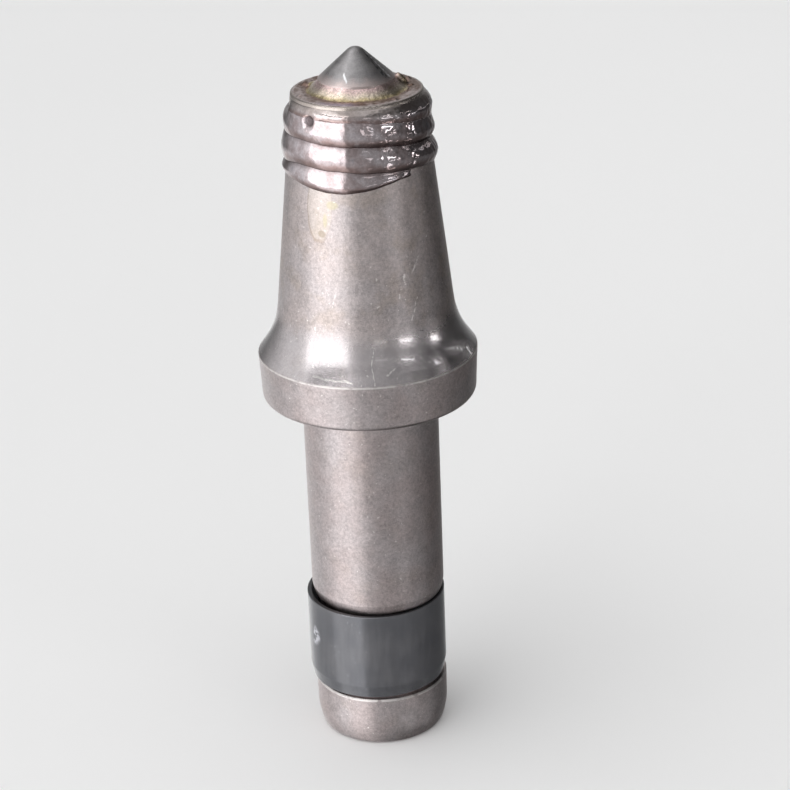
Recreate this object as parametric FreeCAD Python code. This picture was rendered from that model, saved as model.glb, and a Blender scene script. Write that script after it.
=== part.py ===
import FreeCAD, Part
import math
import os

# Conical cutting pick (round shank cutter bit) with a carbide point, a braze joint, a helical
# weld hardfacing round the head and a split spring sleeve in the groove of the shank.
# Millimetres. +Z runs along the axis from the end of the shank to the point.
# The origin is the centre of the flat end of the shank.

# ---- driving dimensions ------------------------------------------------------------------------
shank_diameter = 30.0
shank_length = 82.6          # flat end to the underside of the flange
flange_diameter = 48.0       # at its sharp upper edge
flange_thickness = 10.3      # underside to the sharp upper edge
head_height = 58.2           # sharp edge of the flange to the rim round the carbide
rim_diameter = 28.0
overall_length = 160.1

# ---- shank end, groove -------------------------------------------------------------------------
shank_radius = shank_diameter / 2
end_flat_radius = 12.9
end_corner_height = 0.9      # tight corner between the flat end and the barrelled side
end_corner_inset = 0.86
end_corner_mid_height = 0.3
end_corner_mid_inset = 1.25
barrel_height = 6.0          # the last stretch of the shank is slightly barrelled
barrel_mid_height = 2.6
barrel_mid_inset = 0.38
knob_height = 12.0           # lower shoulder of the groove
groove_top = 36.0
groove_depth = 1.5
groove_ledge_height = 34.05  # upper shoulder of the groove, just over the sleeve
groove_ledge_inset = 0.45    # how much the shank narrows on its way down to it
groove_edge_break = 0.3      # chamfer of the lower shoulder
neck_round = 1.2             # where the shank begins to narrow

# ---- flange and head ---------------------------------------------------------------------------
flange_edge_radius = flange_diameter / 2
flange_draft = 0.5           # the side is this much smaller at its lower end
flange_corner = 1.2
flange_root_fillet = 1.5     # where the shank meets the flange's underside
cone_half_angle = 6.2        # degrees, head
shoulder_half_angle = 35.0   # degrees from the axis, just above the flange's edge
shoulder_fillet = 20.0
rim_radius = rim_diameter / 2
rim_height = shank_length + flange_thickness + head_height

# ---- carbide and braze -------------------------------------------------------------------------
carbide_diameter = 16.2
carbide_point_angle = 95.0   # degrees, included
carbide_point_radius = 2.6
carbide_length = 24.0
carbide_foot_chamfer = 1.2
braze_film = 0.2             # thickness of the braze between the carbide and its socket
pool_outer_radius = 10.9     # the braze pool's outer edge on the rim
pool_depth = 0.9             # recess round the carbide that the braze fills
fillet_hollow = 0.35         # how far the braze fillet's face is hollow, each way
rim_edge_round = 0.5

# ---- hardfacing --------------------------------------------------------------------------------
bead_turns = 3               # whole turns of the weld, one node each, and then the run-out
bead_joint_gap = 1.0         # degrees between the end of a turn and the start of the next
bead_span = 60               # degrees of weld in one smooth piece
bead_steps = 4               # sections of a piece, after its first
bead_root_depth = 0.4        # the sections start this far inside the head, and the head cuts them
bead_pitch = 5.3             # along the axis, from one turn to the next
bead_sway = 0.9              # the turns ride up at the front and hang down at the back
bead_crest = 1.2             # height of the weld over the cone
bead_crease = 0.3            # height of the groove between two turns
bead_first_crease = 1.0      # height of the groove between the first two, which run together
bead_merge = 440.0           # degrees over which the groove deepens to its usual height
bead_start_angle = -75.0     # degrees from the front, towards +X
bead_upper_limit = rim_height - 0.7
bead_second_start = rim_height - 3.0   # the second turn's upper edge, above the start
bead_start_swell = 0.35      # the weld starts this low, and rises over
bead_rise = 150.0            # this many degrees
bead_run_out = 120.0         # degrees after the last whole turn, over which the weld dies out
bead_end_swell = 0.1

# ---- retaining sleeve --------------------------------------------------------------------------
sleeve_radius = 15.65
sleeve_wall = 1.1
sleeve_bottom = 13.0
sleeve_top = 33.7
sleeve_offset = 0.6          # it hangs to one side of the groove, towards -X
sleeve_lead_length = 2.8     # tapered end that enters the holder first
sleeve_lead_depth = 0.5
sleeve_top_break = 0.2
sleeve_slit = 5.0            # gap between the ends of the spring, at the back


def point(radius, height):
    return FreeCAD.Vector(radius, 0, height)


def arc(first, middle, last):
    return Part.Arc(first, middle, last).toShape()


def lines(*points):
    return [Part.makeLine(a, b) for a, b in zip(points, points[1:])]


def turned(edges):
    """One closed solid: the closed outline turned about the Z axis."""
    face = Part.Face(Part.Wire(edges))
    return Part.makeSolid(face.revolve(FreeCAD.Vector(0, 0, 0), FreeCAD.Vector(0, 0, 1), 360))


def cone_radius(height):
    """Radius of the head's cone at a height above the shank's end."""
    return rim_radius + (rim_height - height) * math.tan(math.radians(cone_half_angle))


def corner(before, apex, after, radius):
    """Start, middle and end of the arc that rounds the corner at apex."""
    to_before = (before - apex).normalize()
    to_after = (after - apex).normalize()
    half_opening = to_before.getAngle(to_after) / 2
    reach = radius / math.tan(half_opening)
    bisector = (to_before + to_after).normalize()
    centre = apex + bisector * (radius / math.sin(half_opening))
    return apex + to_before * reach, centre - bisector * radius, apex + to_after * reach


def shank_end():
    """Outline from the axis, round the barrelled end, to the lower shoulder of the groove."""
    flat = point(end_flat_radius, 0)
    corner_end = point(shank_radius - end_corner_inset, end_corner_height)
    corner_middle = point(shank_radius - end_corner_mid_inset, end_corner_mid_height)
    barrel_middle = point(shank_radius - barrel_mid_inset, barrel_mid_height)
    barrel_end = point(shank_radius, barrel_height)
    edges = lines(point(0, 0), flat)
    edges.append(arc(flat, corner_middle, corner_end))
    edges.append(arc(corner_end, barrel_middle, barrel_end))
    return edges, barrel_end


def groove(start):
    """Outline of the groove that holds the sleeve, up to the flange's root fillet."""
    core = shank_radius - groove_depth
    neck = point(shank_radius, groove_top)
    ledge = point(shank_radius - groove_ledge_inset, groove_ledge_height)
    root_end = point(shank_radius, shank_length - flange_root_fillet)
    neck_start, neck_middle, neck_end = corner(ledge, neck, root_end, neck_round)
    edges = lines(
        start,
        point(shank_radius, knob_height - groove_edge_break),
        point(shank_radius - groove_edge_break, knob_height),
        point(core, knob_height),
        point(core, groove_ledge_height),
        ledge,
        neck_start,
    )
    edges.append(arc(neck_start, neck_middle, neck_end))
    edges += lines(neck_end, root_end)
    return edges, root_end


def flange(start):
    """Outline from the shank's top, round the flange, to its sharp upper edge."""
    root = point(shank_radius, shank_length)
    side_foot = point(flange_edge_radius - flange_draft, shank_length)
    edge = point(flange_edge_radius, shank_length + flange_thickness)
    root_start, root_middle, root_end = corner(start, root, side_foot, flange_root_fillet)
    foot_start, foot_middle, foot_end = corner(root, side_foot, edge, flange_corner)
    edges = [arc(root_start, root_middle, root_end)]
    edges += lines(root_end, foot_start)
    edges.append(arc(foot_start, foot_middle, foot_end))
    edges += lines(foot_end, edge)
    return edges, edge


def head(start):
    """Outline from the flange's edge, over the hollow shoulder and up the cone to the rim."""
    shoulder_slope = math.tan(math.radians(shoulder_half_angle))
    cone_slope = math.tan(math.radians(cone_half_angle))
    # the shoulder's line and the cone's line meet here
    above_edge = (flange_edge_radius - cone_radius(start.z)) / (shoulder_slope - cone_slope)
    apex = point(cone_radius(start.z + above_edge), start.z + above_edge)
    rim = point(rim_radius, rim_height)
    pool_edge = point(pool_outer_radius, rim_height)
    fillet_start, fillet_middle, fillet_end = corner(start, apex, rim, shoulder_fillet)
    round_start, round_middle, round_end = corner(fillet_end, rim, pool_edge, rim_edge_round)
    edges = lines(start, fillet_start)
    edges.append(arc(fillet_start, fillet_middle, fillet_end))
    edges += lines(fillet_end, round_start)
    edges.append(arc(round_start, round_middle, round_end))
    return edges, round_end


def socket_floor():
    return overall_length - carbide_length - braze_film


def socket(start):
    """Outline from the rim, across the braze recess and down the socket, back to the axis."""
    socket_radius = carbide_diameter / 2 + braze_film
    return lines(
        start,
        point(pool_outer_radius, rim_height),
        point(socket_radius, rim_height - pool_depth),
        point(socket_radius, socket_floor() + carbide_foot_chamfer),
        point(socket_radius - carbide_foot_chamfer, socket_floor()),
        point(0, socket_floor()),
        point(0, 0),
    )


def pick_body():
    """Forged steel body: end knob, groove, shank, flange, shoulder, cone and carbide socket."""
    edges, place = shank_end()
    for stretch in (groove, flange, head):
        more, place = stretch(place)
        edges += more
    edges += socket(place)
    return turned(edges)


def carbide_shoulder():
    """Height at which the carbide's cone meets its cylindrical stem."""
    half = math.radians(carbide_point_angle / 2)
    sharp_tip = overall_length + carbide_point_radius * (1 / math.sin(half) - 1)
    return sharp_tip - carbide_diameter / 2 / math.tan(half)


def carbide_tip():
    """Carbide insert: rounded point, cone, cylindrical stem and chamfered foot."""
    half = math.radians(carbide_point_angle / 2)
    centre = overall_length - carbide_point_radius
    radius = carbide_diameter / 2
    foot = overall_length - carbide_length

    def on_point(angle):
        across = carbide_point_radius * math.sin(angle)
        return point(across, centre + carbide_point_radius * math.cos(angle))

    tip = on_point(0)
    tip_end = on_point(math.pi / 2 - half)
    edges = [arc(tip, on_point((math.pi / 2 - half) / 2), tip_end)]
    edges += lines(
        tip_end,
        point(radius, carbide_shoulder()),
        point(radius, foot + carbide_foot_chamfer),
        point(radius - carbide_foot_chamfer, foot),
        point(0, foot),
        tip,
    )
    return turned(edges)


def braze_layer():
    """Thin cup of braze between the carbide's stem and the socket."""
    outer = carbide_diameter / 2 + braze_film
    inner = carbide_diameter / 2
    top = rim_height - pool_depth
    floor = socket_floor()
    outline = (
        point(0, floor),
        point(outer - carbide_foot_chamfer, floor),
        point(outer, floor + carbide_foot_chamfer),
        point(outer, top),
        point(inner, top),
        point(inner, floor + braze_film + carbide_foot_chamfer),
        point(inner - carbide_foot_chamfer, floor + braze_film),
        point(0, floor + braze_film),
    )
    return turned(lines(*outline, outline[0]))


def braze_fillet():
    """Ring of solidified braze that climbs from the rim's recess to the carbide's shoulder."""
    socket_radius = carbide_diameter / 2 + braze_film
    stem = carbide_diameter / 2
    low = rim_height - pool_depth
    climb = point(stem, carbide_shoulder())
    edge = point(pool_outer_radius, rim_height)
    hollow = (climb + edge) / 2 - point(fillet_hollow, fillet_hollow)
    edges = lines(edge, point(socket_radius, low), point(stem, low), climb)
    edges.append(arc(climb, hollow, edge))
    return turned(edges)


def bead_edge_height(angle):
    """Height of the weld's upper edge at a total angle along it. The lower edge is one turn on."""
    helix = bead_second_start - bead_pitch * (angle - 360) / 360
    sway = bead_sway * math.cos(math.radians(bead_start_angle + angle))
    return min(helix + sway, bead_upper_limit)


def bead_groove_height(angle):
    """Height over the cone of the groove at the weld's upper edge."""
    merged = max(0.0, 1 - max(0.0, angle - 360) / bead_merge)
    return bead_crease + (bead_first_crease - bead_crease) * merged


def bead_swell(angle):
    """How full the weld is at a total angle: it rises at its start and dies out at its end."""
    rise = min(1.0, bead_start_swell + (1 - bead_start_swell) * angle / bead_rise)
    left = (360 * bead_turns + bead_run_out - angle) / bead_run_out
    fade = min(1.0, bead_end_swell + (1 - bead_end_swell) * left)
    return min(rise, fade)


def bead_section(angle):
    """Closed outline of the weld at a total angle: root, two short sides and a domed top."""
    upper = bead_edge_height(angle)
    lower = bead_edge_height(angle + 360)
    swell = bead_swell(angle)
    spin = FreeCAD.Rotation(FreeCAD.Vector(0, 0, 1), bead_start_angle + angle - 90)

    def place(height, stand):
        return spin.multVec(point(cone_radius(height) + stand, height))

    root_upper = place(upper, -bead_root_depth)
    root_lower = place(lower, -bead_root_depth)
    turn_above = bead_swell(angle - 360) if angle > 360 else bead_swell(0) * bead_start_swell
    side_upper = place(upper, bead_groove_height(angle) * turn_above * swell)
    side_lower = place(lower, bead_groove_height(angle + 360) * swell)
    crest = place((upper + lower) / 2, bead_crest * swell)
    edges = lines(side_lower, root_lower, root_upper, side_upper)
    edges.append(arc(side_upper, crest, side_lower))
    return Part.Wire(edges)


def weld(first, last, body):
    """The weld between two total angles, cut to lie on the head's cone."""
    last -= bead_joint_gap
    spans = round((last - first) / bead_span)
    span_angle = (last - first) / spans
    pieces = []
    for span in range(spans):
        start = first + span_angle * span
        angles = [start + span_angle * step / bead_steps for step in range(bead_steps + 1)]
        loft = Part.makeLoft([bead_section(angle) for angle in angles], True, False)
        pieces.append(loft.cut(body))
    return pieces[0].multiFuse(pieces[1:])


def retaining_sleeve():
    """Split spring sleeve with a tapered lead at its lower end."""
    inner = sleeve_radius - sleeve_wall
    outline = (
        point(inner, sleeve_bottom),
        point(sleeve_radius - sleeve_lead_depth, sleeve_bottom),
        point(sleeve_radius, sleeve_bottom + sleeve_lead_length),
        point(sleeve_radius, sleeve_top - sleeve_top_break),
        point(sleeve_radius - sleeve_top_break, sleeve_top),
        point(inner + sleeve_top_break, sleeve_top),
        point(inner, sleeve_top - sleeve_top_break),
    )
    ring = turned(lines(*outline, outline[0]))
    reach = 2 * sleeve_radius
    slit = Part.makeBox(
        sleeve_slit, reach, overall_length, FreeCAD.Vector(-sleeve_slit / 2, 0, 0)
    )
    split = ring.cut(slit)
    split.translate(FreeCAD.Vector(-sleeve_offset, 0, 0))
    return split


def main():
    os.makedirs("parts", exist_ok=True)
    body = pick_body()
    nodes = {
        "pick_body": body,
        "carbide_tip": carbide_tip(),
        "braze_layer": braze_layer(),
        "braze_fillet": braze_fillet(),
        "retaining_sleeve": retaining_sleeve(),
    }
    for number in range(bead_turns):
        nodes[f"hardfacing_pass_{number + 1}"] = weld(360 * number, 360 * (number + 1), body)
    weld_end = 360 * bead_turns + bead_run_out
    nodes["hardfacing_run_out"] = weld(360 * bead_turns, weld_end, body)
    for name, shape in nodes.items():
        shape.exportStep(f"parts/{name}.step")
        print(name, shape.isValid(), len(shape.Solids), round(shape.Volume, 1), shape.BoundBox)


main()
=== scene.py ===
import math

import bpy
from mathutils import Matrix, Vector, noise


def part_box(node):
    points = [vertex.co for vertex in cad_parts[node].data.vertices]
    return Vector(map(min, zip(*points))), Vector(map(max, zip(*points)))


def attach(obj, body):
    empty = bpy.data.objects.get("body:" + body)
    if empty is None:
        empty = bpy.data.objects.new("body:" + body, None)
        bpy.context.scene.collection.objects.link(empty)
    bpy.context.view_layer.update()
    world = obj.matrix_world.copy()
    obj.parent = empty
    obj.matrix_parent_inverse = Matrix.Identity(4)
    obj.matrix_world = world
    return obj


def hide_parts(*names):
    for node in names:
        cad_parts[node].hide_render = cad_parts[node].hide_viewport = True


# Looks of the conical cutting pick. Metres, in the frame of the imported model: +Z towards the
# carbide point, -Y towards the viewer. Angles round the axis count from -Y towards +X.

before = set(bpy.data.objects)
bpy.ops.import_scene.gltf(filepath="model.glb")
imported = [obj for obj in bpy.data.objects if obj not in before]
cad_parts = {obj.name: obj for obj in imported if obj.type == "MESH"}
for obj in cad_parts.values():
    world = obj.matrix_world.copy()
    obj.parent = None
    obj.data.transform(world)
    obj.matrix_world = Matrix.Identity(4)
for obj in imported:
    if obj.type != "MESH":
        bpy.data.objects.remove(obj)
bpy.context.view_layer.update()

MM = 0.001
body_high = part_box("pick_body")[1]
sleeve_low, sleeve_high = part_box("retaining_sleeve")
rim_height = body_high.z
carbide_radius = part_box("carbide_tip")[1].x
flange_radius = body_high.x
braze_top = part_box("braze_fillet")[1].z
pool_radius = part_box("braze_fillet")[1].x

# driving dimensions of the part
rim_radius = 14.0 * MM
cone_slope = math.tan(math.radians(6.2))
flange_edge_height = rim_height - 58.2 * MM
knob_edge_height = 12.0 * MM     # lower shoulder of the sleeve's groove


# ---- small helpers -----------------------------------------------------------------------------

def smooth(low, high, value):
    """0 below low, 1 above high, and a smooth rise between."""
    share = min(max((value - low) / (high - low), 0.0), 1.0)
    return share * share * (3 - 2 * share)


def around(radius, angle, height):
    """The point at a radius, an angle in degrees and a height."""
    turn = math.radians(angle)
    return Vector((radius * math.sin(turn), -radius * math.cos(turn), height))


def cone_radius(height):
    """Radius of the head's cone."""
    return rim_radius + (rim_height - height) * cone_slope


def mesh_piece(name, points, faces, material):
    """A smooth-shaded object from points and faces."""
    mesh = bpy.data.meshes.new(name)
    mesh.from_pydata(points, [], faces)
    mesh.materials.append(material)
    mesh.polygons.foreach_set("use_smooth", [True] * len(mesh.polygons))
    mesh.validate()
    piece = bpy.data.objects.new(name, mesh)
    bpy.context.scene.collection.objects.link(piece)
    return piece


# ---- materials ---------------------------------------------------------------------------------

class Shader:
    """A node material with short calls for the nodes used here."""

    def __init__(self, name, metallic):
        self.material = bpy.data.materials.new(name)
        self.material.use_nodes = True
        self.tree = self.material.node_tree
        self.surface = self.tree.nodes["Principled BSDF"]
        self.surface.inputs["Metallic"].default_value = metallic
        self.place = self.add("ShaderNodeTexCoord").outputs["Object"]
        split = self.add("ShaderNodeSeparateXYZ", self.place)
        self.x, self.y, self.z = split.outputs
        square = self.math("ADD", self.math("MULTIPLY", self.x, self.x),
                           self.math("MULTIPLY", self.y, self.y))
        self.radius = self.math("SQRT", square)
        self.angle = self.math("ARCTAN2", self.x, self.math("MULTIPLY", self.y, -1.0))

    def add(self, kind, *inputs, **settings):
        node = self.tree.nodes.new(kind)
        for key, value in settings.items():
            setattr(node, key, value)
        for socket, value in zip(node.inputs, inputs):
            self.join(socket, value)
        return node

    def join(self, socket, value):
        if isinstance(value, bpy.types.NodeSocket):
            self.tree.links.new(value, socket)
        elif value is not None:
            socket.default_value = value

    def math(self, operation, first, second=None):
        return self.add("ShaderNodeMath", first, second, operation=operation).outputs[0]

    def rise(self, value, low, high, from_share=0.0, to_share=1.0):
        """A smooth step from from_share to to_share as value goes from low to high."""
        node = self.add("ShaderNodeMapRange", value, low, high, from_share, to_share,
                        interpolation_type="SMOOTHSTEP")
        return node.outputs[0]

    def band(self, value, centre, half_width, softness):
        """1 within half_width of centre, 0 outside."""
        away = self.math("ABSOLUTE", self.math("SUBTRACT", value, centre))
        return self.rise(away, half_width, half_width + softness, 1.0, 0.0)

    def noise(self, scale, detail, roughness, stretch=None, offset=None):
        """Noise in object space; scale in cycles per metre."""
        place = self.place
        if stretch or offset:
            place = self.add("ShaderNodeMapping", place, offset or (0, 0, 0), (0, 0, 0),
                             stretch or (1, 1, 1)).outputs[0]
        node = self.add("ShaderNodeTexNoise", place)
        node.inputs["Scale"].default_value = scale
        node.inputs["Detail"].default_value = detail
        node.inputs["Roughness"].default_value = roughness
        return node.outputs["Fac"]

    def mix(self, share, first, second):
        node = self.add("ShaderNodeMix", data_type="RGBA")
        self.join(node.inputs[0], share)
        for socket, value in ((node.inputs[6], first), (node.inputs[7], second)):
            self.join(socket, (*value, 1.0) if isinstance(value, tuple) else value)
        return node.outputs[2]

    def scale_colour(self, colour, factor):
        """The colour times a number."""
        node = self.add("ShaderNodeVectorMath", colour, operation="SCALE")
        self.join(node.inputs["Scale"], factor)
        return node.outputs[0]

    def bump(self, height, distance, strength, normal=None):
        node = self.add("ShaderNodeBump")
        node.inputs["Strength"].default_value = strength
        node.inputs["Distance"].default_value = distance
        self.join(node.inputs["Height"], height)
        self.join(node.inputs["Normal"], normal)
        return node.outputs[0]

    def patch(self, angle, height, half_angle, half_height, edge, waviness, seed):
        """A blotch on the outside: its mask, and how far out a place is, 1 at the outline.

        The centre and the half sizes are in degrees and metres."""
        wobble = self.math("SUBTRACT", self.noise(260.0, 2.0, 0.6, offset=(seed, 0, 0)), 0.5)
        across = self.math("DIVIDE", self.math("SUBTRACT", self.angle, math.radians(angle)),
                           math.radians(half_angle))
        along = self.math("DIVIDE", self.math("SUBTRACT", self.z, height), half_height)
        away = self.math("SQRT", self.math("ADD", self.math("MULTIPLY", across, across),
                                           self.math("MULTIPLY", along, along)))
        away = self.math("ADD", away, self.math("MULTIPLY", wobble, 2 * waviness))
        return self.rise(away, 1.0 - edge, 1.0, 1.0, 0.0), away

    def scratch(self, first, last, half_width, seed, gaps=1.0):
        """A thin line between two (angle, height) places on the outside, broken if gaps is 1."""
        middle = math.radians((first[0] + last[0]) / 2)
        height = (first[1] + last[1]) / 2
        girth = cone_radius(height)
        run = Vector((math.radians(last[0] - first[0]) * girth, last[1] - first[1]))
        run_length = run.length
        run.normalize()
        across = self.math("MULTIPLY", self.math("SUBTRACT", self.angle, middle), girth)
        along = self.math("SUBTRACT", self.z, height)
        lengthwise = self.math("ADD", self.math("MULTIPLY", across, run.x),
                               self.math("MULTIPLY", along, run.y))
        sideways = self.math("SUBTRACT", self.math("MULTIPLY", across, run.y),
                             self.math("MULTIPLY", along, run.x))
        wobble = self.math("SUBTRACT", self.noise(500.0, 1.0, 0.5, offset=(seed, 0, 0)), 0.5)
        sideways = self.math("ADD", sideways, self.math("MULTIPLY", wobble, 0.8 * MM))
        line = self.band(sideways, 0.0, half_width * 0.4, half_width)
        ends = self.band(lengthwise, 0.0, run_length / 2, 0.3 * MM)
        broken = self.rise(self.noise(1400.0, 1.0, 0.5, offset=(0, seed, 0)), 0.42, 0.55,
                           1.0 - gaps)
        return self.math("MULTIPLY", self.math("MULTIPLY", line, ends), broken)

    def finish(self, colour, roughness, normal=None):
        self.join(self.surface.inputs["Base Color"], colour)
        self.join(self.surface.inputs["Roughness"], roughness)
        self.join(self.surface.inputs["Normal"], normal)
        return self.material


def steel_material():
    """Blasted and tumbled forged steel: satin, warm grey, finely speckled, bright on edges from wear
    and painted highlight, with a painted reflection streak on the shoulder.
    """
    s = Shader("blasted_steel", 1.0)
    grain = s.noise(4200.0, 2.0, 0.6)
    speckle = s.noise(1500.0, 3.0, 0.65)
    mottle = s.noise(330.0, 4.0, 0.6)
    cloud = s.noise(70.0, 3.0, 0.55)

    head = s.rise(s.z, flange_edge_height - 1 * MM, flange_edge_height + 1 * MM)
    colour = s.mix(head, (0.50, 0.430, 0.425), (0.54, 0.475, 0.465))
    colour = s.mix(s.rise(cloud, 0.35, 0.7), colour, (0.52, 0.475, 0.48))
    brown = s.math("MULTIPLY", s.rise(s.noise(150.0, 3.0, 0.6, offset=(3, 1, 7)), 0.50, 0.68), 0.3)
    brown = s.math("MULTIPLY", brown, s.rise(head, 0.0, 1.0, 0.35, 1.0))
    colour = s.mix(brown, colour, (0.40, 0.32, 0.25))
    level = s.math("ADD", s.rise(mottle, 0.25, 0.75, 0.90, 1.08),
                   s.rise(grain, 0.25, 0.75, -0.15, 0.15))
    level = s.math("ADD", level, s.rise(speckle, 0.3, 0.7, -0.13, 0.13))
    colour = s.scale_colour(colour, level)

    # the shoulder is rubbed smooth, cooler in colour, and oily
    shoulder_full = flange_edge_height + 0.5 * MM
    shoulder_fade = flange_edge_height + 6 * MM
    shoulder_top = flange_edge_height + 12 * MM
    shoulder = s.math("MULTIPLY", s.rise(s.z, flange_edge_height, shoulder_full),
                      s.rise(s.z, shoulder_fade, shoulder_top, 1.0, 0.0))
    colour = s.mix(s.math("MULTIPLY", shoulder, 0.6), colour, (0.51, 0.48, 0.50))

    # dried liquid just under the weld, at the left front: a pale film with a brown outline
    film_angle = -33.0
    film, away = s.patch(film_angle, rim_height - 20.5 * MM, 11.0, 8.6 * MM, 0.12, 0.16, 2.0)
    outline = s.band(away, 0.96, 0.012, 0.05)
    outline_fade = s.rise(s.angle, math.radians(film_angle), math.radians(film_angle + 7), 1.0, 0.3)
    outline = s.math("MULTIPLY", outline, outline_fade)
    colour = s.mix(s.math("MULTIPLY", film, 0.25), colour, (0.72, 0.64, 0.54))
    # yellow spots in it: angle, millimetres below the rim, half sizes in degrees and millimetres
    yellow_spots = ((-22.0, 20.5, 6.0, 1.1), (-28.0, 23.8, 2.6, 2.0))
    for angle, height, wide, tall in yellow_spots:
        spot = s.patch(angle, rim_height - height * MM, wide, tall * MM, 0.5, 0.4, angle)[0]
        colour = s.mix(s.math("MULTIPLY", spot, 0.5), colour, (0.55, 0.50, 0.30))
    spot = s.patch(-30.5, rim_height - 26.8 * MM, 3.6, 0.9 * MM, 0.4, 0.3, 5.0)[0]
    colour = s.mix(s.math("MULTIPLY", spot, 0.55), colour, (0.33, 0.27, 0.20))
    colour = s.mix(s.math("MULTIPLY", outline, 0.5), colour, (0.36, 0.28, 0.22))

    # scale left on the rim round the braze, and heat tint just below it
    on_rim = s.math("MULTIPLY", s.rise(s.z, rim_height - 0.3 * MM, rim_height - 0.05 * MM),
                    s.rise(s.radius, rim_radius - 0.3 * MM, rim_radius - 0.7 * MM))
    colour = s.mix(on_rim, colour, (0.42, 0.32, 0.29))
    collar = s.rise(s.z, rim_height - 5.0 * MM, rim_height - 2.0 * MM)
    collar = s.math("MULTIPLY", collar, s.math("SUBTRACT", 1.0, on_rim))
    colour = s.mix(s.math("MULTIPLY", collar, 0.6), colour, (0.50, 0.44, 0.39))

    # bright on the sharp edges, partly real wear and partly painted highlight, and bright wear in
    # scratches
    wear_and_painted_highlight = s.math("MULTIPLY", s.band(s.z, flange_edge_height, 0.10 * MM, 0.16 * MM),
                  s.rise(s.radius, flange_radius - 0.5 * MM, flange_radius - 0.2 * MM))
    knob = s.math("MULTIPLY", s.band(s.z, knob_edge_height - 0.2 * MM, 0.2 * MM, 0.15 * MM),
                  s.rise(s.radius, 14.5 * MM, 14.8 * MM))
    wear_and_painted_highlight = s.math("MAXIMUM", wear_and_painted_highlight, knob)
    wear_and_painted_highlight = s.math("MULTIPLY", wear_and_painted_highlight, s.rise(s.noise(420.0, 2.0, 0.6, offset=(9, 0, 0)), 0.3, 0.5))
    # scratches: first and last place as degrees and millimetres, and half width in millimetres
    marks = (
        ((40.5, 118.2), (31.1, 114.1), 0.20),
        ((35.8, 109.5), (28.9, 104.5), 0.16),
        ((27.5, 115.0), (27.0, 113.0), 0.26),
        ((24.0, 112.0), (22.5, 110.2), 0.16),
        ((4.0, 101.0), (1.5, 97.0), 0.13),
        ((1.5, 97.0), (3.0, 93.4), 0.11),
        ((15.0, 96.2), (9.0, 94.6), 0.20),
        ((-20.0, 112.0), (-22.0, 109.0), 0.08),
    )
    for number, (first, last, width) in enumerate(marks):
        start, end = (first[0], first[1] * MM), (last[0], last[1] * MM)
        wear_and_painted_highlight = s.math("MAXIMUM", wear_and_painted_highlight, s.scratch(start, end, width * MM, 1.7 * number + 0.3))
    # a painted reflection: a thin bright streak low across the shoulder at the left front
    painted_reflection_streak = s.scratch((-31.0, 94.5 * MM), (-9.0, 94.0 * MM), 0.20 * MM, 8.0, 0.2)
    wear_and_painted_highlight = s.math("MAXIMUM", wear_and_painted_highlight, painted_reflection_streak)
    flecks = s.rise(s.noise(1500.0, 1.0, 0.4, offset=(4, 4, 4)), 0.735, 0.77)
    wear_and_painted_highlight = s.math("MAXIMUM", wear_and_painted_highlight, s.math("MULTIPLY", flecks, 0.8))
    colour = s.mix(s.math("MULTIPLY", wear_and_painted_highlight, 0.8), colour, (0.92, 0.88, 0.86))

    roughness = s.math("ADD", s.rise(mottle, 0.3, 0.7, 0.33, 0.41),
                       s.math("MULTIPLY", shoulder, -0.17))
    roughness = s.math("ADD", roughness, s.math("MULTIPLY", collar, -0.16))
    roughness = s.math("ADD", roughness, s.math("MULTIPLY", wear_and_painted_highlight, -0.05))
    oil = s.math("MULTIPLY", shoulder, s.rise(mottle, 0.3, 0.6, 0.55, 1.0))
    s.join(s.surface.inputs["Coat Weight"], oil)
    s.surface.inputs["Coat Roughness"].default_value = 0.04
    s.surface.inputs["Coat IOR"].default_value = 2.0
    normal = s.bump(grain, 0.035 * MM, 0.5)
    normal = s.bump(speckle, 0.06 * MM, 0.3, normal)
    waves = s.math("MULTIPLY", s.math("SUBTRACT", mottle, 0.5), s.rise(shoulder, 0.0, 1.0, 1.0, 0.2))
    normal = s.bump(waves, 0.10 * MM, 0.35, normal)
    return s.finish(colour, roughness, normal)


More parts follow.
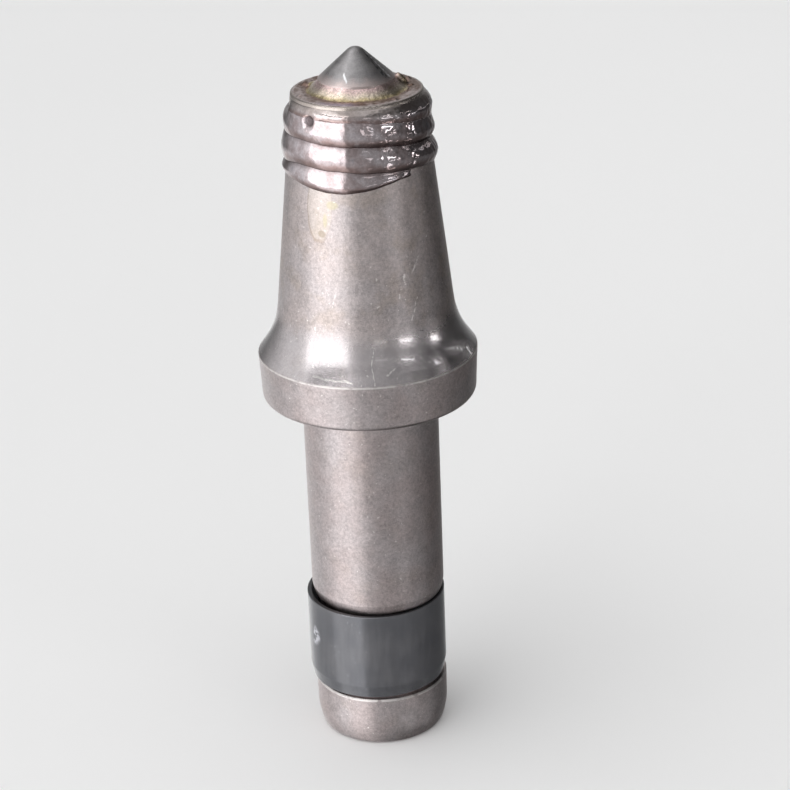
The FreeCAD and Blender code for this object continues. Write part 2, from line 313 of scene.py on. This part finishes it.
def carbide_material():
    """Sintered carbide: satin grey with faint swirls, painted darker at the right as shade, with a
    scratch.
    """
    s = Shader("sintered_carbide", 0.9)
    wave = s.add("ShaderNodeTexWave", s.place, wave_type="RINGS", rings_direction="Z")
    wave.inputs["Scale"].default_value = 160.0
    wave.inputs["Distortion"].default_value = 9.0
    wave.inputs["Detail"].default_value = 3.0
    wave.inputs["Detail Scale"].default_value = 1.6
    swirl = wave.outputs["Fac"]
    cloud = s.noise(420.0, 4.0, 0.6)
    grain = s.noise(5200.0, 2.0, 0.6)
    colour = s.mix(s.rise(cloud, 0.3, 0.7), (0.325, 0.315, 0.320), (0.435, 0.420, 0.425))
    colour = s.mix(s.rise(swirl, 0.75, 1.0, 0.0, 0.3), colour, (0.46, 0.445, 0.46))
    # braze has wetted the foot of the cone and left it pinkish
    foot = s.rise(s.math("ADD", s.z, s.math("MULTIPLY", s.math("SUBTRACT", cloud, 0.5), 2.0 * MM)),
                  braze_top - 0.2 * MM, braze_top + 1.7 * MM, 1.0, 0.0)
    colour = s.mix(s.math("MULTIPLY", foot, 0.8), colour, (0.74, 0.62, 0.60))
    colour = s.scale_colour(colour, s.rise(grain, 0.3, 0.7, 0.88, 1.12))
    # painted shade: the right side of the carbide is darkened
    painted_right_shade = s.band(s.angle, math.radians(60), math.radians(30), math.radians(50))
    colour = s.scale_colour(colour, s.rise(painted_right_shade, 0.0, 1.0, 1.0, 0.76))
    scratch = s.scratch((-26.0, braze_top + 2.0 * MM), (-16.0, braze_top + 0.9 * MM),
                        0.22 * MM, 3.0, 0.0)
    colour = s.mix(scratch, colour, (0.9, 0.9, 0.92))
    # a chipped, dark line down the right side, with painted glints beside it: a painted highlight
    chips = s.scratch((58.0, braze_top + 5.5 * MM), (58.0, braze_top + 0.5 * MM), 1.3 * MM, 5.0, 0.8)
    colour = s.mix(s.math("MULTIPLY", chips, 0.85), colour, (0.07, 0.07, 0.075))
    painted_glints = s.scratch((70.0, braze_top + 5.5 * MM), (68.0, braze_top + 0.5 * MM), 0.7 * MM, 6.0)
    colour = s.mix(s.math("MULTIPLY", painted_glints, 0.9), colour, (0.9, 0.9, 0.92))
    roughness = s.rise(cloud, 0.3, 0.7, 0.27, 0.38)
    return s.finish(colour, roughness, s.bump(grain, 0.02 * MM, 0.4))


def braze_material():
    """Braze alloy: copper pink at the carbide, pale gold below, dark moat, brown scale outside."""
    s = Shader("braze_alloy", 1.0)
    wobble = s.math("SUBTRACT", s.noise(330.0, 3.0, 0.6), 0.5)
    out = s.math("ADD", s.radius, s.math("MULTIPLY", wobble, 1.3 * MM))
    grain = s.noise(2600.0, 3.0, 0.6)
    blotch = s.noise(520.0, 3.0, 0.6, offset=(5, 2, 0))
    colour = s.mix(s.rise(out, carbide_radius + 0.2 * MM, carbide_radius + 1.6 * MM),
                   (0.84, 0.64, 0.62), (0.88, 0.76, 0.62))
    colour = s.mix(s.rise(out, carbide_radius + 1.3 * MM, carbide_radius + 2.2 * MM),
                   colour, (0.68, 0.56, 0.34))
    colour = s.mix(s.rise(blotch, 0.54, 0.74, 0.0, 0.6), colour, (0.50, 0.39, 0.22))
    colour = s.mix(s.rise(out, pool_radius - 0.6 * MM, pool_radius - 0.1 * MM),
                   colour, (0.36, 0.25, 0.215))
    # scale on the rim: brown, with mauve temper colours at the front
    scale = s.mix(s.rise(s.noise(300.0, 3.0, 0.6, offset=(1, 8, 3)), 0.40, 0.57),
                  (0.28, 0.19, 0.16), (0.62, 0.52, 0.50))
    mauve = s.patch(-18.0, rim_height, 24.0, 20 * MM, 0.6, 0.4, 6.0)[0]
    scale = s.mix(s.math("MULTIPLY", mauve, 0.7), scale, (0.50, 0.41, 0.52))
    colour = s.mix(s.rise(out, pool_radius + 0.1 * MM, pool_radius + 0.8 * MM), colour, scale)
    lip = s.rise(s.radius, rim_radius - 1.0 * MM, rim_radius - 0.6 * MM)
    colour = s.mix(s.math("MULTIPLY", lip, 0.75), colour, (0.80, 0.70, 0.69))
    # burnt flux at the right, outside the braze's inner edge
    burnt = s.patch(98.0, rim_height, 24.0, 20 * MM, 0.5, 0.5, 9.0)[0]
    burnt = s.math("MULTIPLY", burnt, s.rise(out, carbide_radius + 0.4 * MM, carbide_radius + 1.2 * MM))
    colour = s.mix(s.math("MULTIPLY", burnt, 0.65), colour, (0.22, 0.15, 0.115))
    colour = s.scale_colour(colour, s.rise(grain, 0.25, 0.75, 0.75, 1.22))
    roughness = s.rise(out, pool_radius - 0.8 * MM, pool_radius + 0.6 * MM, 0.24, 0.34)
    normal = s.bump(grain, 0.08 * MM, 0.4)
    return s.finish(colour, roughness, s.bump(blotch, 0.15 * MM, 0.35, normal))


def weld_material():
    """Hardfacing weld: glossy, mauve and brown heat tint, with painted shade in the grooves and in the
    pit, and a painted highlight at the left front.
    """
    s = Shader("hardfacing", 1.0)
    pit = s.add("ShaderNodeAttribute", attribute_name="pit_depth").outputs["Fac"]
    painted_groove_shade = s.add("ShaderNodeAttribute", attribute_name="painted_groove_shade").outputs["Fac"]
    flank = s.add("ShaderNodeAttribute", attribute_name="flank").outputs["Fac"]
    cloud = s.noise(260.0, 4.0, 0.65)
    fine = s.noise(1900.0, 3.0, 0.65)
    colour = s.mix(s.rise(cloud, 0.35, 0.65), (0.44, 0.365, 0.37), (0.64, 0.585, 0.61))
    # the lower side of a turn keeps more heat scale than its crest
    rust = s.rise(s.noise(190.0, 4.0, 0.65, offset=(7, 3, 2)), 0.28, 0.52, 0.35, 1.0)
    under = s.rise(flank, 0.58, 0.84)
    colour = s.mix(s.math("MULTIPLY", s.math("MULTIPLY", rust, under), 0.8), colour,
                   (0.27, 0.18, 0.165))
    slate = s.rise(s.noise(230.0, 3.0, 0.6, offset=(2, 9, 5)), 0.60, 0.70)
    colour = s.mix(s.math("MULTIPLY", slate, 0.4), colour, (0.38, 0.38, 0.43))
    gold = s.math("MULTIPLY", s.rise(s.z, rim_height - 3.0 * MM, rim_height - 1.0 * MM), 0.65)
    colour = s.mix(gold, colour, (0.50, 0.44, 0.40))
    # painted shade in the grooves between turns
    colour = s.mix(s.math("MULTIPLY", painted_groove_shade, 0.85), colour, (0.15, 0.105, 0.10))
    # painted shade in the bubble's pit
    painted_pit_shade = s.rise(pit, 0.10, 0.40)
    colour = s.mix(s.math("MULTIPLY", painted_pit_shade, 0.85), colour, (0.10, 0.08, 0.085))
    colour = s.scale_colour(colour, s.rise(fine, 0.25, 0.75, 0.87, 1.12))
    # painted highlight: lighter at the left front, where the window is reflected, and darker elsewhere
    painted_window_highlight = s.band(s.angle, math.radians(-28), math.radians(15), math.radians(5))
    colour = s.scale_colour(colour, s.rise(painted_window_highlight, 0.0, 1.0, 0.87, 1.14))
    roughness = s.math("ADD", s.rise(cloud, 0.3, 0.7, 0.06, 0.11),
                       s.math("MULTIPLY", painted_groove_shade, 0.22))
    roughness = s.math("ADD", roughness, s.math("MULTIPLY", painted_pit_shade, 0.3))
    normal = s.bump(fine, 0.04 * MM, 0.3)
    return s.finish(colour, roughness, normal)


def sleeve_material():
    """Blued spring steel: dark slate, satin, with handling scuffs, a top edge painted bright from wear
    and painted highlight, and painted shade on the cut face.
    """
    s = Shader("blued_spring", 0.75)
    grain = s.noise(3800.0, 2.0, 0.6)
    cloud = s.noise(160.0, 4.0, 0.55)
    rolled = s.noise(900.0, 2.0, 0.5, stretch=(1.0, 1.0, 0.12))
    colour = s.mix(s.rise(cloud, 0.3, 0.7), (0.150, 0.152, 0.166), (0.178, 0.178, 0.190))
    colour = s.scale_colour(colour, s.math("ADD", s.rise(grain, 0.3, 0.7, 0.93, 1.05),
                                           s.rise(rolled, 0.3, 0.7, -0.05, 0.05)))
    flecks = s.rise(s.noise(1600.0, 1.0, 0.3, offset=(2, 6, 1)), 0.74, 0.78)
    middle = (sleeve_low.z + sleeve_high.z) / 2
    scuff = s.patch(-66.0, middle + 1.2 * MM, 6.5, 3.6 * MM, 0.6, 0.9, 4.0)[0]
    scuff = s.math("MULTIPLY", scuff, s.rise(s.noise(520.0, 2.0, 0.5), 0.42, 0.52))
    # the top edge is painted bright, partly wear and partly painted highlight
    edge = s.rise(s.z, sleeve_high.z - 0.22 * MM, sleeve_high.z - 0.05 * MM)
    wear_and_painted_highlight = s.math("MAXIMUM", s.math("MULTIPLY", flecks, 0.2), s.math("MULTIPLY", scuff, 0.9))
    wear_and_painted_highlight = s.math("MAXIMUM", wear_and_painted_highlight, s.math("MULTIPLY", edge, 0.35))
    colour = s.mix(wear_and_painted_highlight, colour, (0.68, 0.68, 0.74))
    # painted shade: the cut face on top is painted near black
    painted_dark_cut_face = s.rise(s.z, sleeve_high.z - 0.13 * MM, sleeve_high.z - 0.05 * MM)
    colour = s.mix(painted_dark_cut_face, colour, (0.07, 0.07, 0.075))
    roughness = s.rise(cloud, 0.3, 0.7, 0.15, 0.22)
    return s.finish(colour, roughness, s.bump(grain, 0.02 * MM, 0.35))


def floor_material():
    """Pale matt floor."""
    s = Shader("pale_floor", 0.0)
    s.surface.inputs["Specular IOR Level"].default_value = 0.0
    tone = s.rise(s.noise(2.0, 2.0, 0.5), 0.3, 0.7, 0.0, 1.0)
    return s.finish(s.mix(tone, (0.90, 0.90, 0.90), (0.92, 0.92, 0.92)), 0.9)


# ---- pieces ------------------------------------------------------------------------------------

weld_turns = 3
weld_run_out = 120.0         # degrees after the last whole turn
weld_start = -75.0           # angle round the axis where the weld begins
weld_end = 360 * weld_turns + weld_run_out
weld_pitch = 5.3 * MM
weld_sway = 0.9 * MM         # the turns ride up at the front and hang down at the back
weld_limit = rim_height - 0.7 * MM
weld_second_start = rim_height - 3.0 * MM
weld_crest = 1.22 * MM
weld_root = 0.5 * MM         # how deep the weld's hidden inner side lies in the head
weld_overlap = 0.05 * MM     # each turn reaches this far under the next
weld_second_turn = 345       # from this total angle on, a turn lies against the one before
weld_step = 0.75             # degrees from one section to the next
weld_columns = 26            # faces across the weld

# the pit left by a gas bubble, in the first turn at the left front
pit_angle = -42.0
pit_height = rim_height - 3.5 * MM
pit_bottom = 0.55 * MM       # how deep it is
pit_reach = 1.2 * MM
pit_raggedness = 0.35 * MM

shadow_reach = 0.75 * MM     # how far a groove's painted shade comes up its sides
shadow_end = 0.95 * MM       # a groove filled this high has no painted shade in it

# how far the weld strays from its even helix: total angle along it, millimetres
weld_stray = ((360, 0.0), (440, 0.1), (525, -0.5), (640, 0.0), (705, 0.4), (795, 0.2),
              (830, 0.3), (885, 0.1), (980, 0.2), (1062, -0.9), (1105, 0.4), (1170, 0.2),
              (1245, 0.1), (1350, 0.6), (1440, 1.9), (1500, 0.75), (1560, 1.5))
# height of the groove between two turns, in millimetres
weld_groove = ((345, 0.0), (368, 0.95), (440, 1.12), (525, 0.86), (620, 0.80), (705, 0.72),
               (790, 0.42), (885, 0.04), (980, 0.15), (1065, 0.34), (1150, 0.38), (1185, 0.2),
               (1205, 0.0))
# how full the weld is between its grooves
weld_fullness = ((0, 0.30), (70, 0.9), (160, 1.08), (345, 1.0), (700, 0.98), (800, 0.86),
                 (885, 0.97), (1000, 0.85), (1065, 0.68), (1110, 0.68), (1150, 0.62),
                 (1184, 0.44), (1200, 0.0))


def along(knots, angle):
    """The smooth curve through the knots, read at an angle."""
    for (start, first), (end, last) in zip(knots, knots[1:]):
        if angle < end:
            return first + (last - first) * smooth(start, end, angle)
    return knots[-1][1]


def weld_edge(angle):
    """Height of the weld's upper edge at a total angle along it; its lower edge is one turn on."""
    helix = weld_second_start - weld_pitch * (angle - 360) / 360
    helix += weld_sway * math.cos(math.radians(weld_start + angle))
    stray = along(weld_stray, angle) * MM
    stray += noise.noise(Vector((angle / 15.0, 3.1, 0.4))) * 0.20 * MM
    stray += noise.noise(Vector((angle / 5.0, 8.7, 2.2))) * 0.07 * MM
    # the first turn follows the rim, held just under it
    return min(helix + stray * smooth(330, 400, angle), weld_limit + 0.6 * stray)


def weld_lumps(angle, share):
    """Uneven surface of the weld: long swells, ripples left by the pool and small dents."""
    drift = angle + 26.0 * (share - 0.5) ** 2
    swell = 0.11 * noise.noise(Vector((angle / 30.0, share * 1.3, 1.7)))
    ripple = 0.055 * noise.noise(Vector((drift / 7.0, share * 2.0, 6.1)))
    # the right front is the most rippled
    side = (weld_start + angle + 180) % 360 - 180
    choppy = smooth(-5, 25, side) * (1 - smooth(95, 130, side))
    dent = (0.03 + 0.05 * choppy) * noise.noise(Vector((angle / 3.2, share * 6.0, 4.4)))
    return (swell + ripple + dent) * MM


def weld_profile(share, lean):
    """How far a section has risen towards its crest: 0 at both edges, 1 at the crest.

    A positive lean moves the crest towards the lower edge."""
    return 1 - abs(2 * share ** (1 + 0.5 * lean) - 1) ** 1.7


def pit_depth_at(place, centre):
    """Depth of the bubble's pit at a place."""
    away = (place - centre).length + pit_raggedness * noise.noise(place * 900.0)
    return math.exp(-(away / pit_reach) ** 4) * pit_bottom


def shadow_at(height, edge, groove):
    """Painted shade at a height from the groove at an edge, 0 to 1; groove is how high it is filled."""
    return math.exp(-((height - edge) / shadow_reach) ** 2) * max(0.0, 1 - groove / shadow_end)


def weld_piece(material):
    """The whole helical weld as one closed mesh; it stands for every turn of the CAD weld."""
    rings = round(weld_end / weld_step) + 1
    pit = around(cone_radius(pit_height) + 1.0 * MM, pit_angle, pit_height)
    points, pit_depth, painted_groove_shade, flank = [], [], [], []
    for ring in range(rings):
        angle = ring * weld_step
        free_edge = angle < weld_second_turn
        upper, lower = weld_edge(angle), weld_edge(angle + 360) - weld_overlap
        upper_lift = along(weld_groove, angle) * MM if angle > weld_second_turn else 0.0
        lower_lift = along(weld_groove, angle + 360) * MM
        full = along(weld_fullness, angle)
        # the last stretch narrows to a rounded end
        narrow = 1 - smooth(weld_end - 60, weld_end + 2, angle)
        lower = upper + (lower - upper) * (0.38 + 0.62 * narrow)
        # the crest lies low on the first stretch and on the last
        lean = 1 - smooth(110, 165, angle) + 1.5 * smooth(1085, 1140, angle)
        for column in range(weld_columns + 1):
            share = column / weld_columns
            height = upper + (lower - upper) * share
            dome = weld_profile(share, lean)
            base = upper_lift + (lower_lift - upper_lift) * share
            lift = base + (max(weld_crest * full, base) - base) * dome
            rough = min(1.0, dome * 1.6 + (0.5 if base > 0.8 * MM else 0.0))
            lift += weld_lumps(angle, share) * rough * max(full, 0.15)
            # thin edges dip under the cone's surface
            feather = 0.12 * MM * (1 - min(1.0, lift / (0.15 * MM)))
            place = around(cone_radius(height) + lift - feather, weld_start + angle, height)
            depth = pit_depth_at(place, pit)
            place -= Vector((place.x, place.y, 0)).normalized() * depth
            points.append(place)
            # painted shade near the grooves at both edges of each section
            above = 0.0 if free_edge else shadow_at(height, upper, upper_lift)
            pit_depth.append(depth / MM)
            painted_groove_shade.append(max(above, shadow_at(height, lower, lower_lift)))
            flank.append(share)
        for height in (lower, upper):
            points.append(around(cone_radius(height) - weld_root, weld_start + angle, height))
            pit_depth.append(0.0)
            painted_groove_shade.append(1.0)
            flank.append(1.0)
    piece = mesh_piece("hardfacing_weld", points, ring_faces(rings, weld_columns + 3), material)
    for name, values in (("pit_depth", pit_depth), ("painted_groove_shade", painted_groove_shade), ("flank", flank)):
        layer = piece.data.attributes.new(name, "FLOAT", "POINT")
        layer.data.foreach_set("value", values)
    return piece


def ring_faces(rings, size, closed=False):
    """Quads between rings of points that each go round a closed outline, with ends if open."""
    faces = []
    spans = rings if closed else rings - 1
    for ring in range(spans):
        here, there = ring * size, ((ring + 1) % rings) * size
        for column in range(size):
            beside = (column + 1) % size
            faces.append((here + beside, there + beside, there + column, here + column))
    if not closed:
        faces.append(tuple(reversed(range(size))))
        faces.append(tuple((rings - 1) * size + column for column in range(size)))
    return faces


def braze_piece(material):
    """Braze pool round the carbide: a wavy fillet, lumpy scale out to the lip, and blobs."""
    rings = 360                       # one a degree
    columns = 52
    inner = carbide_radius - 0.3 * MM
    outer = rim_radius - 0.4 * MM
    low = rim_height - 0.45 * MM
    outer_height = rim_height - 0.1 * MM
    # blobs: angle in degrees, then radius, reach and rise in millimetres
    blobs = ((103.0, 9.75, 1.15, 1.5), (114.0, 11.6, 0.8, 0.6), (92.0, 11.3, 0.6, 0.35),
             (-68.0, 12.1, 1.1, 0.35), (-112.0, 11.0, 1.3, 0.6), (38.0, 12.4, 0.7, 0.2))

    def wave(angle, scale, seed):
        turn = math.radians(angle)
        return noise.noise(Vector((math.cos(turn) * scale, math.sin(turn) * scale, seed)))

    points = []
    for angle in range(rings):
        climb = braze_top - 0.10 * MM + wave(angle, 2.4, 1.0) * 0.5 * MM
        foot = pool_radius - 0.35 * MM + wave(angle, 2.0, 4.0) * 0.7 * MM
        for column in range(columns + 1):
            share = column / columns
            radius = inner + (outer - inner) * share
            down = min(max((radius - inner) / (foot - inner), 0.0), 1.0)
            slope = (1 - down) ** 1.15
            flat = smooth(foot - 0.6 * MM, foot + 0.5 * MM, radius)
            place = around(radius, angle, rim_height)
            lumps = 0.10 * noise.noise(place * 900.0) + 0.07 * noise.noise(place * 2300.0)
            ledge = 0.18 + 0.30 * noise.noise(Vector((place.x * 260, place.y * 260, 7.0)))
            ledge *= 1 - smooth(outer - 0.9 * MM, outer, radius)
            # a shallow moat between the braze and the raised lip
            moat = math.exp(-((radius - foot - 0.5 * MM) / (0.45 * MM)) ** 2) * 0.22
            rise = lumps * (0.4 + 0.6 * flat) + max(ledge, 0.03) * flat - moat * flat
            rise += 0.22 * wave(angle, 3.5, 6.0) * (1 - slope) * (1 - flat)
            for blob_angle, blob_radius, reach, lift in blobs:
                centre = around(blob_radius * MM, blob_angle, rim_height)
                away = (place - centre).length / (reach * MM)
                rise += lift * math.exp(-0.8 * away ** 4) if away < 2.5 else 0.0
            height = rim_height + (climb - rim_height) * slope + max(rise, -0.3) * MM
            if column == columns:
                height = outer_height
            points.append(around(radius, angle, height))
        for radius in (outer, inner):
            points.append(around(radius, angle, low))
    return mesh_piece("braze_pool", points, ring_faces(rings, columns + 3, closed=True), material)


def floor_piece(material):
    """Floor under the pick."""
    reach = 4.0
    corners = [(-reach, -reach, 0), (reach, -reach, 0), (reach, reach, 0), (-reach, reach, 0)]
    floor = mesh_piece("floor", corners, [(0, 1, 2, 3)], material)
    floor.visible_glossy = False
    return floor


def dress_nodes(braze):
    """Gives the CAD nodes that stay their materials."""
    for node, material in (
        ("pick_body", steel_material()),
        ("carbide_tip", carbide_material()),
        ("retaining_sleeve", sleeve_material()),
        ("braze_layer", braze),
    ):
        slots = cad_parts[node].data.materials
        slots.clear()
        slots.append(material)


# ---- light, floor and camera -------------------------------------------------------------------

# brightness of the surroundings by direction: degrees from the front towards the right
surroundings = (
    (-180, 0.54), (-160, 0.36), (-148, 0.20), (-134, 0.36), (-120, 0.70), (-104, 0.92),
    (-91, 0.98), (-80, 1.05), (-76, 2.15), (-26, 2.15), (-22, 0.68), (-12, 0.53), (20, 0.41),
    (60, 0.29), (84, 0.10), (100, 0.07), (130, 0.06), (146, 0.09), (162, 0.28), (180, 0.54),
)
# and overhead, from the front window's glow round to the dark right side
ceiling_glow = (
    (-180, 0.55), (-120, 1.10), (-75, 1.70), (-42, 1.25), (0, 0.60), (42, 0.17),
    (90, 0.26), (140, 0.32), (180, 0.55),
)
# and below the horizon, where the table shines back
table_glow = (
    (-180, 1.00), (-150, 1.05), (-128, 0.80), (-112, 0.80), (-91, 0.92), (-80, 1.00),
    (-76, 1.50), (-26, 1.50), (-22, 0.72), (-12, 0.60), (20, 0.42),
    (60, 0.33), (84, 0.20), (110, 0.13), (130, 0.12), (150, 0.17), (165, 0.42), (180, 1.00),
)
# All angles below are in degrees. The two rings meet just under the horizon.
table_edge = (-20.0, -13.0)
foot_shade = (-62.0, -42.0, 0.45)   # looking down, the pick's own foot darkens the table
ceiling_edge = (48.0, 57.0)
zenith_edge = (62.0, 72.0)
zenith_glow = 0.75

# the window at the left front: it ends at a transom, with a fanlight over it
window_azimuth = -51.0
window_width = 52.0
window_softness = 4.0
window_near_side = -27.0
transom_edge = (32.0, 35.0)
transom_sink = 0.1                  # it looks this much lower for each degree further round
transom_shade = 0.72
fanlight_elevation = 50.0
fanlight_height = 3.0
fanlight_glow = 5.0

# a string of lamps at the far right, sinking towards the back
string_azimuth = 119.0
string_width = 42.0
string_near_side = 100.0
string_elevation = 15.5
string_sink = 0.24
lamp_spacing = 5.0
lamp_width = 2.4
lamp_height = 1.5
lamp_glow = 2.2

# small panes seen in the right-hand side, in columns and rows: azimuth, width and brightness
pane_columns = ((15.0, 14.0, 1.2), (48.0, 17.0, 4.5), (87.0, 10.0, 4.5))
# elevation and height
pane_rows = ((27.0, 1.6), (5.5, 4.5), (-9.0, 1.0), (-38.0, 1.5))
edge_softness = 1.0
lamp_softness = 0.8


class Sky:
    """World nodes for a studio described by azimuth and elevation."""

    def __init__(self):
        world = bpy.data.worlds.new("studio")
        bpy.context.scene.world = world
        world.use_nodes = True
        self.tree = world.node_tree
        self.tree.nodes.clear()
        place = self.add("ShaderNodeTexCoord").outputs["Generated"]
        x, y, z = self.add("ShaderNodeSeparateXYZ", place).outputs
        forward = self.math("MULTIPLY", y, -1.0)
        self.azimuth = self.math("MULTIPLY", self.math("ARCTAN2", x, forward), 180 / math.pi)
        self.elevation = self.math("MULTIPLY", self.math("ARCSINE", z), 180 / math.pi)

    def add(self, kind, *inputs, **settings):
        node = self.tree.nodes.new(kind)
        for key, value in settings.items():
            setattr(node, key, value)
        for socket, value in zip(node.inputs, inputs):
            if isinstance(value, bpy.types.NodeSocket):
                self.tree.links.new(value, socket)
            elif value is not None:
                socket.default_value = value
        return node

    def math(self, operation, first, second=None):
        return self.add("ShaderNodeMath", first, second, operation=operation).outputs[0]

    def step(self, value, low, high, first=0.0, last=1.0):
        return self.add("ShaderNodeMapRange", value, low, high, first, last).outputs[0]

    def blend(self, share, first, last):
        """first where share is 0, last where it is 1."""
        return self.math("ADD", self.math("MULTIPLY", last, share),
                         self.math("MULTIPLY", first, self.math("SUBTRACT", 1.0, share)))

    def glow(self, light, mask, brightness):
        """The light with some more where the mask is."""
        return self.math("ADD", light, self.math("MULTIPLY", mask, brightness))

    def window(self, value, centre, width, softness):
        """1 inside a band of directions and 0 outside."""
        away = self.math("ABSOLUTE", self.math("SUBTRACT", value, centre))
        return self.step(away, width / 2 - softness / 2, width / 2 + softness / 2, 1.0, 0.0)

    def ring(self, levels):
        """Brightness round the horizon from a list of azimuths and levels."""
        brightest = 4.0
        share = self.step(self.azimuth, -180.0, 180.0)
        ramp = self.add("ShaderNodeValToRGB", share)
        stops = ramp.color_ramp.elements
        while len(stops) > 1:
            stops.remove(stops[-1])
        for number, (degrees, level) in enumerate(levels):
            stop = stops[0] if number == 0 else stops.new((degrees + 180) / 360)
            stop.position = (degrees + 180) / 360
            stop.color = (level / brightest, level / brightest, level / brightest, 1.0)
        grey = self.add("ShaderNodeRGBToBW", ramp.outputs[0]).outputs[0]
        return self.math("MULTIPLY", grey, brightest)


def studio_world():
    """Soft studio: a tall window at the left front, a shining table, and panes at the right."""
    sky = Sky()
    above = sky.ring(surroundings)
    below = sky.ring(table_glow)
    share = sky.step(sky.elevation, *table_edge)
    below = sky.math("MULTIPLY", below, sky.step(sky.elevation, *foot_shade, 1.0))
    light = sky.blend(share, below, above)
    front = sky.window(sky.azimuth, window_azimuth, window_width, window_softness)
    sunk = sky.math("MULTIPLY", sky.math("ADD", sky.azimuth, -window_near_side), transom_sink)
    over = sky.step(sky.math("SUBTRACT", sky.elevation, sunk), *transom_edge)
    transom = sky.math("MULTIPLY", front, over)
    light = sky.math("MULTIPLY", light, sky.math("SUBTRACT", 1.0, sky.math(
        "MULTIPLY", transom, transom_shade)))
    fanlight = sky.window(sky.elevation, fanlight_elevation, fanlight_height, edge_softness)
    light = sky.glow(light, sky.math("MULTIPLY", front, fanlight), fanlight_glow)
    high = sky.step(sky.elevation, *ceiling_edge)
    light = sky.blend(high, light, sky.ring(ceiling_glow))
    light = sky.blend(sky.step(sky.elevation, *zenith_edge), light, zenith_glow)
    light = string_of_lamps(sky, light)
    for azimuth, width, brightness in pane_columns:
        column = sky.window(sky.azimuth, azimuth, width, 2 * edge_softness)
        for elevation, height in pane_rows:
            row = sky.window(sky.elevation, elevation, height, edge_softness)
            light = sky.glow(light, sky.math("MULTIPLY", column, row), brightness)
    background = sky.add("ShaderNodeBackground")
    sky.tree.links.new(light, background.inputs["Color"])
    sky.tree.links.new(background.outputs[0], sky.add("ShaderNodeOutputWorld").inputs[0])


def string_of_lamps(sky, light):
    """Adds the evenly spaced lamps at the far right."""
    along_string = sky.math("MODULO", sky.azimuth, lamp_spacing)
    lamps = sky.window(along_string, lamp_spacing / 2, lamp_width, edge_softness)
    lamps = sky.math("MULTIPLY", lamps, sky.window(sky.azimuth, string_azimuth, string_width,
                                                   edge_softness))
    rising = sky.math("MULTIPLY", sky.math("SUBTRACT", string_near_side, sky.azimuth), string_sink)
    height = sky.math("SUBTRACT", sky.elevation, rising)
    lamps = sky.math("MULTIPLY", lamps, sky.window(height, string_elevation, lamp_height,
                                                   lamp_softness))
    return sky.glow(light, lamps, lamp_glow)


overhead_elevation = 88.0
overhead_distance = 1.6
overhead_size = 2.4
overhead_radiance = 0.68


def overhead_light():
    """A square light from above that whitens the floor without showing in the metal."""
    data = bpy.data.lights.new("overhead", "AREA")
    data.size = overhead_size
    data.energy = overhead_radiance * math.pi * overhead_size * overhead_size
    light = bpy.data.objects.new("overhead", data)
    bpy.context.scene.collection.objects.link(light)
    look_at = Vector((0, 0, rim_height * 0.75))
    flat = overhead_distance * math.cos(math.radians(overhead_elevation))
    rise = overhead_distance * math.sin(math.radians(overhead_elevation))
    light.location = look_at + around(flat, 0, rise)
    light.rotation_euler = (light.location - look_at).to_track_quat("Z", "Y").to_euler()
    light.visible_glossy = False


camera_place = (0, -0.4737, 0.2868)
camera_pitch = math.radians(23.50)   # looking down
camera_yaw = math.radians(0.61)      # towards +X
camera_roll = math.radians(-2.50)
camera_lens = 106.5
camera_sensor = 36.0


def camera():
    """Long lens, a little above the pick and looking down on it."""
    data = bpy.data.cameras.new("camera")
    data.sensor_width = camera_sensor
    data.lens = camera_lens
    data.clip_start = 0.01
    data.clip_end = 50.0
    eye = bpy.data.objects.new("camera", data)
    bpy.context.scene.collection.objects.link(eye)
    forward = Vector((0, math.cos(camera_pitch), -math.sin(camera_pitch)))
    up = Vector((0, math.sin(camera_pitch), math.cos(camera_pitch)))
    right = Vector((1, 0, 0))
    forward, right = (forward * math.cos(camera_yaw) + right * math.sin(camera_yaw),
                      right * math.cos(camera_yaw) - forward * math.sin(camera_yaw))
    right, up = (right * math.cos(camera_roll) + up * math.sin(camera_roll),
                 up * math.cos(camera_roll) - right * math.sin(camera_roll))
    turn = Matrix((right, up, -forward)).transposed().to_4x4()
    eye.matrix_world = Matrix.Translation(camera_place) @ turn
    bpy.context.scene.camera = eye


def main():
    braze_alloy = braze_material()
    dress_nodes(braze_alloy)
    weld = weld_piece(weld_material())
    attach(weld, "pick")
    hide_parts("hardfacing_pass_1", "hardfacing_pass_2", "hardfacing_pass_3",
                "hardfacing_run_out")
    braze = braze_piece(braze_alloy)
    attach(braze, "pick")
    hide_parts("braze_fillet")
    floor = floor_piece(floor_material())
    studio_world()
    overhead_light()
    camera()
    bpy.context.scene.view_settings.view_transform = "Standard"


main()
